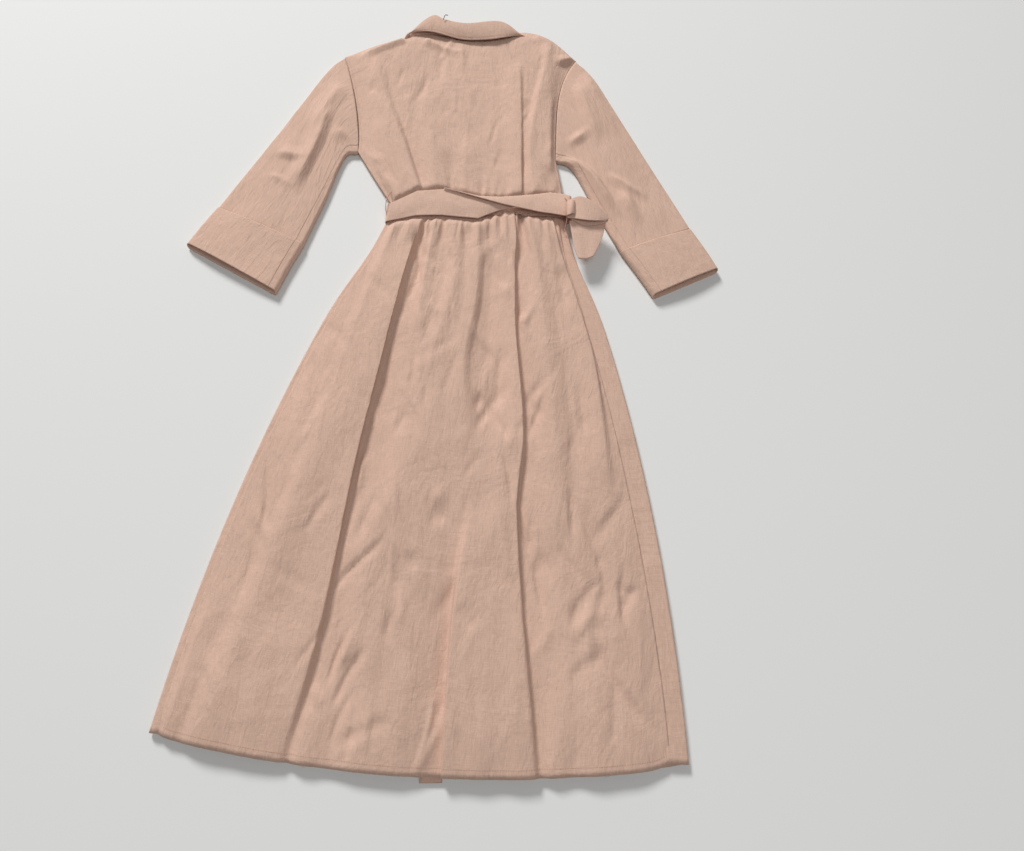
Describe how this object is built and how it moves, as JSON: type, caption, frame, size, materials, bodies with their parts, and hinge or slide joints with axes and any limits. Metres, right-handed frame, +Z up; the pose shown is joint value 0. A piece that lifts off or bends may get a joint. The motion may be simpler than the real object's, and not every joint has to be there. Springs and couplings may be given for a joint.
{
  "type": "shirt dress",
  "caption": "Long belted linen shirt dress with deep cuffs, turned-down collar and gathered skirt, laid out on its front.",
  "frame": {"origin": "on the surface the dress lies on, under the middle of its outline", "axes": "+Y from hem to collar, +X to the wearer's right, +Z up, with the back of the dress uppermost"},
  "size_m": [0.882, 1.302, 0.0413],
  "materials": {
    "linen": "plain weave with slubs, matt",
    "tape": "woven tape, matt",
    "label": "satin woven, plain",
    "thread": "twisted sewing thread",
    "button": "soft pearl"
  },
  "bodies": {
    "dress": {"back_bodice": "linen", "back_skirt": "linen", "left_front_bodice": "linen", "right_front_bodice": "linen", "left_front_skirt": "linen", "right_front_skirt": "linen", "collar_stand": "linen", "left_collar_leaf": "linen", "right_collar_leaf": "linen", "button_placket": "linen", "buttonhole_placket": "linen", "left_skirt_seam": "linen", "right_skirt_seam": "linen", "left_bodice_seam": "linen", "right_bodice_seam": "linen", "left_shoulder_seam": "linen", "right_shoulder_seam": "linen", "back_hem": "linen", "left_front_hem": "linen", "right_front_hem": "linen", "waist_stay": "tape", "neck_label": "label", "care_label": "label", "front_buttons": "button", "button_shanks": "thread", "left_belt_loop": "thread", "right_belt_loop": "thread"},
    "collar": {"collar_fall": "linen"},
    "left_sleeve_body": {"left_sleeve": "linen", "left_cuff": "linen"},
    "right_sleeve_body": {"right_sleeve": "linen", "right_cuff": "linen"},
    "belt_body": {"belt": "linen"},
    "bow": {"belt_bow": "linen"}
  },
  "joints": [
    {"name": "left_sleeve_swing", "type": "hinge", "parent": "dress", "child": "left_sleeve_body", "pos_m": [-0.288, 0.424, 0], "axis": [0, 0, -1], "range_deg": [0, 22]},
    {"name": "right_sleeve_swing", "type": "hinge", "parent": "dress", "child": "right_sleeve_body", "pos_m": [0.288, 0.424, 0], "axis": [0, 0, 1], "range_deg": [0, 22]},
    {"name": "collar_turn", "type": "hinge", "parent": "dress", "child": "collar", "pos_m": [0, 0.651, 0.02115], "axis": [-1, 0, 0], "range_deg": [0, 75]},
    {"name": "belt_shift", "type": "slide", "parent": "dress", "child": "belt_body", "axis": [0, 1, 0], "range_m": [-0.004, 0.004]},
    {"name": "bow_swing", "type": "hinge", "parent": "belt_body", "child": "bow", "pos_m": [0.1975, 0.221, 0.02415], "axis": [0, 0, 1], "range_deg": [-18, 18]}
  ]
}
